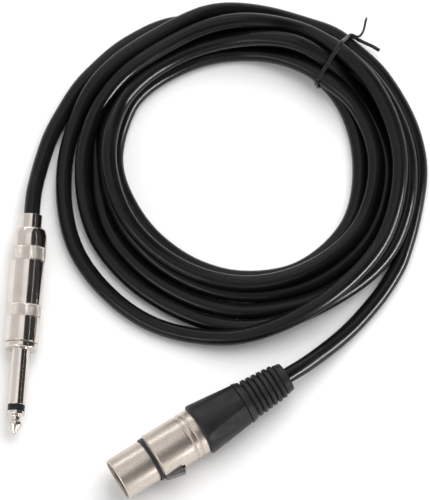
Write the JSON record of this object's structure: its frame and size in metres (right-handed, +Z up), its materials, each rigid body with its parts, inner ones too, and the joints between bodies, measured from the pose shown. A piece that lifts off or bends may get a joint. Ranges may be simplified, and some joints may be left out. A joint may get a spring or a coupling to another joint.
{
  "type": "xlr cable coil",
  "caption": "Round audio cable coiled flat and tied, with an XLR socket on one end and a 6.35 mm jack plug on the other.",
  "frame": {"origin": "on the surface that the coil lies on, under the middle of the whole outline", "axes": "+Z up out of the coil, +Y along the outline's long way, from the jack tip and the XLR socket towards the far side of the coil"},
  "size_m": [0.1529, 0.1846, 0.0196],
  "materials": {
    "cable_jacket": "black PVC jacket, smooth, semi-gloss",
    "tie_plastic": "black plastic over a soft wire",
    "polished_nickel": "polished nickel plate, warm grey",
    "satin_nickel": "satin nickel plate on a zinc casting",
    "spring_steel": "nickel-plated spring steel",
    "tinned_brass": "tinned brass stamping",
    "gold_plate": "thin gold plate on brass",
    "bare_copper": "twisted bare copper braid",
    "black_plastic": "moulded black plastic, satin",
    "black_rubber": "moulded black rubber, matt",
    "grey_plastic": "grey moulded nylon",
    "clear_plastic": "milky thin-walled plastic tube",
    "red_core": "red insulation of the inner core",
    "pressed_fibre": "pressed fibre washer"
  },
  "bodies": {
    "cable": {"cable_coil": "cable_jacket", "cable_jack_lead": "cable_jacket", "cable_xlr_lead": "cable_jacket", "twist_tie": "tie_plastic", "jack_tip_rod": "polished_nickel", "jack_tip_insulator": "black_plastic", "jack_sleeve": "polished_nickel", "jack_barrel": "polished_nickel", "jack_rear_washer": "pressed_fibre", "jack_tip_terminal": "tinned_brass", "jack_ground_lug": "tinned_brass", "jack_insulating_tube": "clear_plastic", "jack_core_wire": "red_core", "jack_shield_tail": "bare_copper", "xlr_shell": "satin_nickel", "xlr_coding_ring": "black_rubber", "xlr_insert": "black_plastic", "xlr_contact_1": "gold_plate", "xlr_contact_2": "gold_plate", "xlr_contact_3": "gold_plate", "xlr_latch_pin": "spring_steel", "xlr_latch_spring": "spring_steel", "xlr_cable_clamp": "grey_plastic", "xlr_back_nut": "black_plastic", "xlr_boot": "black_rubber", "xlr_core_wire": "red_core", "xlr_shield_tail": "bare_copper"},
    "latch": {"xlr_latch": "spring_steel"}
  },
  "joints": [
    {"name": "xlr_latch_press", "type": "hinge", "parent": "cable", "child": "latch", "pos_m": [-0.01739, -0.08346, 0.0098], "axis": [0, 0, 1], "range_deg": [0, 12], "stiffness_Nm_per_rad": 0.02, "springref_deg": -5.73, "deforming": ["xlr_latch_spring"]}
  ]
}
